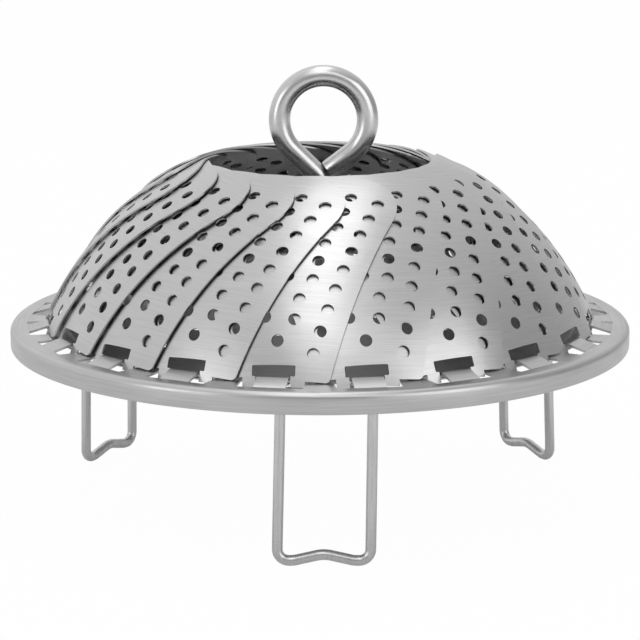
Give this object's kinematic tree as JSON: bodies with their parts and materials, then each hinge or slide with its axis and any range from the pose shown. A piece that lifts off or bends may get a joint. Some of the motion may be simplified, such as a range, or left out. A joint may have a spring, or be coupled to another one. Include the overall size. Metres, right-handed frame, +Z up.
{
  "type": "folding steamer basket",
  "caption": "Folding stainless steel steamer basket: perforated base plate on wire legs, overlapping hinged petals folded into a dome, and a bent-rod eye handle on a centre post.",
  "frame": {"origin": "on the table, under the centre of the base plate", "axes": "+Z up along the post; the pictured front looks along -Y, +X to its right"},
  "size_m": [0.14, 0.14, 0.0978],
  "materials": {
    "plate_steel": "stainless steel, brushed round the rim",
    "petal_steel": "stainless steel, fine brushing across each petal",
    "wire_steel": "stainless steel, drawn wire, half bright",
    "rod_steel": "stainless steel, tumbled bright"
  },
  "bodies": {
    "base": {"base_plate": "plate_steel", "nut_upper": "wire_steel", "nut_lower": "wire_steel"},
    "handle": {"handle": "rod_steel"},
    "petal_01": {"petal_01": "petal_steel"},
    "petal_02": {"petal_02": "petal_steel"},
    "petal_03": {"petal_03": "petal_steel"},
    "petal_04": {"petal_04": "petal_steel"},
    "petal_05": {"petal_05": "petal_steel"},
    "petal_06": {"petal_06": "petal_steel"},
    "petal_07": {"petal_07": "petal_steel"},
    "petal_08": {"petal_08": "petal_steel"},
    "petal_09": {"petal_09": "petal_steel"},
    "petal_10": {"petal_10": "petal_steel"},
    "petal_11": {"petal_11": "petal_steel"},
    "petal_12": {"petal_12": "petal_steel"},
    "petal_13": {"petal_13": "petal_steel"},
    "petal_14": {"petal_14": "petal_steel"},
    "petal_15": {"petal_15": "petal_steel"},
    "petal_16": {"petal_16": "petal_steel"},
    "petal_17": {"petal_17": "petal_steel"},
    "petal_18": {"petal_18": "petal_steel"},
    "petal_19": {"petal_19": "petal_steel"},
    "petal_20": {"petal_20": "petal_steel"},
    "leg_front": {"leg_front": "wire_steel"},
    "leg_right": {"leg_right": "wire_steel"},
    "leg_left": {"leg_left": "wire_steel"}
  },
  "joints": [
    {"name": "petal_01_hinge", "type": "hinge", "parent": "base", "child": "petal_01", "pos_m": [0.00965, -0.06094, 0.04005], "axis": [0.9877, 0.1564, 0], "range_deg": [0, 100]},
    {"name": "petal_02_hinge", "type": "hinge", "parent": "base", "child": "petal_02", "pos_m": [0.02801, -0.05498, 0.04005], "axis": [0.891, 0.454, 0], "range_deg": [0, 100]},
    {"name": "petal_03_hinge", "type": "hinge", "parent": "base", "child": "petal_03", "pos_m": [0.04363, -0.04363, 0.04005], "axis": [0.7071, 0.7071, 0], "range_deg": [0, 100]},
    {"name": "petal_04_hinge", "type": "hinge", "parent": "base", "child": "petal_04", "pos_m": [0.05498, -0.02801, 0.04005], "axis": [0.454, 0.891, 0], "range_deg": [0, 100]},
    {"name": "petal_05_hinge", "type": "hinge", "parent": "base", "child": "petal_05", "pos_m": [0.06094, -0.00965, 0.04005], "axis": [0.1564, 0.9877, 0], "range_deg": [0, 100]},
    {"name": "petal_06_hinge", "type": "hinge", "parent": "base", "child": "petal_06", "pos_m": [0.06094, 0.00965, 0.04005], "axis": [-0.1564, 0.9877, 0], "range_deg": [0, 100]},
    {"name": "petal_07_hinge", "type": "hinge", "parent": "base", "child": "petal_07", "pos_m": [0.05498, 0.02801, 0.04005], "axis": [-0.454, 0.891, 0], "range_deg": [0, 100]},
    {"name": "petal_08_hinge", "type": "hinge", "parent": "base", "child": "petal_08", "pos_m": [0.04363, 0.04363, 0.04005], "axis": [-0.7071, 0.7071, 0], "range_deg": [0, 100]},
    {"name": "petal_09_hinge", "type": "hinge", "parent": "base", "child": "petal_09", "pos_m": [0.02801, 0.05498, 0.04005], "axis": [-0.891, 0.454, 0], "range_deg": [0, 100]},
    {"name": "petal_10_hinge", "type": "hinge", "parent": "base", "child": "petal_10", "pos_m": [0.00965, 0.06094, 0.04005], "axis": [-0.9877, 0.1564, 0], "range_deg": [0, 100]},
    {"name": "petal_11_hinge", "type": "hinge", "parent": "base", "child": "petal_11", "pos_m": [-0.00965, 0.06094, 0.04005], "axis": [-0.9877, -0.1564, 0], "range_deg": [0, 100]},
    {"name": "petal_12_hinge", "type": "hinge", "parent": "base", "child": "petal_12", "pos_m": [-0.02801, 0.05498, 0.04005], "axis": [-0.891, -0.454, 0], "range_deg": [0, 100]},
    {"name": "petal_13_hinge", "type": "hinge", "parent": "base", "child": "petal_13", "pos_m": [-0.04363, 0.04363, 0.04005], "axis": [-0.7071, -0.7071, 0], "range_deg": [0, 100]},
    {"name": "petal_14_hinge", "type": "hinge", "parent": "base", "child": "petal_14", "pos_m": [-0.05498, 0.02801, 0.04005], "axis": [-0.454, -0.891, 0], "range_deg": [0, 100]},
    {"name": "petal_15_hinge", "type": "hinge", "parent": "base", "child": "petal_15", "pos_m": [-0.06094, 0.00965, 0.04005], "axis": [-0.1564, -0.9877, 0], "range_deg": [0, 100]},
    {"name": "petal_16_hinge", "type": "hinge", "parent": "base", "child": "petal_16", "pos_m": [-0.06094, -0.00965, 0.04005], "axis": [0.1564, -0.9877, 0], "range_deg": [0, 100]},
    {"name": "petal_17_hinge", "type": "hinge", "parent": "base", "child": "petal_17", "pos_m": [-0.05498, -0.02801, 0.04005], "axis": [0.454, -0.891, 0], "range_deg": [0, 100]},
    {"name": "petal_18_hinge", "type": "hinge", "parent": "base", "child": "petal_18", "pos_m": [-0.04363, -0.04363, 0.04005], "axis": [0.7071, -0.7071, 0], "range_deg": [0, 100]},
    {"name": "petal_19_hinge", "type": "hinge", "parent": "base", "child": "petal_19", "pos_m": [-0.02801, -0.05498, 0.04005], "axis": [0.891, -0.454, 0], "range_deg": [0, 100]},
    {"name": "petal_20_hinge", "type": "hinge", "parent": "base", "child": "petal_20", "pos_m": [-0.00965, -0.06094, 0.04005], "axis": [0.9877, -0.1564, 0], "range_deg": [0, 100]},
    {"name": "leg_front_fold", "type": "hinge", "parent": "base", "child": "leg_front", "pos_m": [0, -0.05717, 0.03698], "axis": [1, 0, 0], "range_deg": [0, 92]},
    {"name": "leg_right_fold", "type": "hinge", "parent": "base", "child": "leg_right", "pos_m": [0.04952, 0.02859, 0.03698], "axis": [-0.5, 0.866, 0], "range_deg": [0, 92]},
    {"name": "leg_left_fold", "type": "hinge", "parent": "base", "child": "leg_left", "pos_m": [-0.04952, 0.02859, 0.03698], "axis": [-0.5, -0.866, 0], "range_deg": [0, 92]},
    {"name": "handle_turn", "type": "hinge", "parent": "base", "child": "handle", "pos_m": [0, 0, 0.0389], "axis": [0, 0, 1], "continuous": true}
  ],
  "couplings": [
    {"joint": "petal_02_hinge", "follows": "petal_01_hinge", "ratio": 1},
    {"joint": "petal_03_hinge", "follows": "petal_01_hinge", "ratio": 1},
    {"joint": "petal_04_hinge", "follows": "petal_01_hinge", "ratio": 1},
    {"joint": "petal_05_hinge", "follows": "petal_01_hinge", "ratio": 1},
    {"joint": "petal_06_hinge", "follows": "petal_01_hinge", "ratio": 1},
    {"joint": "petal_07_hinge", "follows": "petal_01_hinge", "ratio": 1},
    {"joint": "petal_08_hinge", "follows": "petal_01_hinge", "ratio": 1},
    {"joint": "petal_09_hinge", "follows": "petal_01_hinge", "ratio": 1},
    {"joint": "petal_10_hinge", "follows": "petal_01_hinge", "ratio": 1},
    {"joint": "petal_11_hinge", "follows": "petal_01_hinge", "ratio": 1},
    {"joint": "petal_12_hinge", "follows": "petal_01_hinge", "ratio": 1},
    {"joint": "petal_13_hinge", "follows": "petal_01_hinge", "ratio": 1},
    {"joint": "petal_14_hinge", "follows": "petal_01_hinge", "ratio": 1},
    {"joint": "petal_15_hinge", "follows": "petal_01_hinge", "ratio": 1},
    {"joint": "petal_16_hinge", "follows": "petal_01_hinge", "ratio": 1},
    {"joint": "petal_17_hinge", "follows": "petal_01_hinge", "ratio": 1},
    {"joint": "petal_18_hinge", "follows": "petal_01_hinge", "ratio": 1},
    {"joint": "petal_19_hinge", "follows": "petal_01_hinge", "ratio": 1},
    {"joint": "petal_20_hinge", "follows": "petal_01_hinge", "ratio": 1}
  ]
}
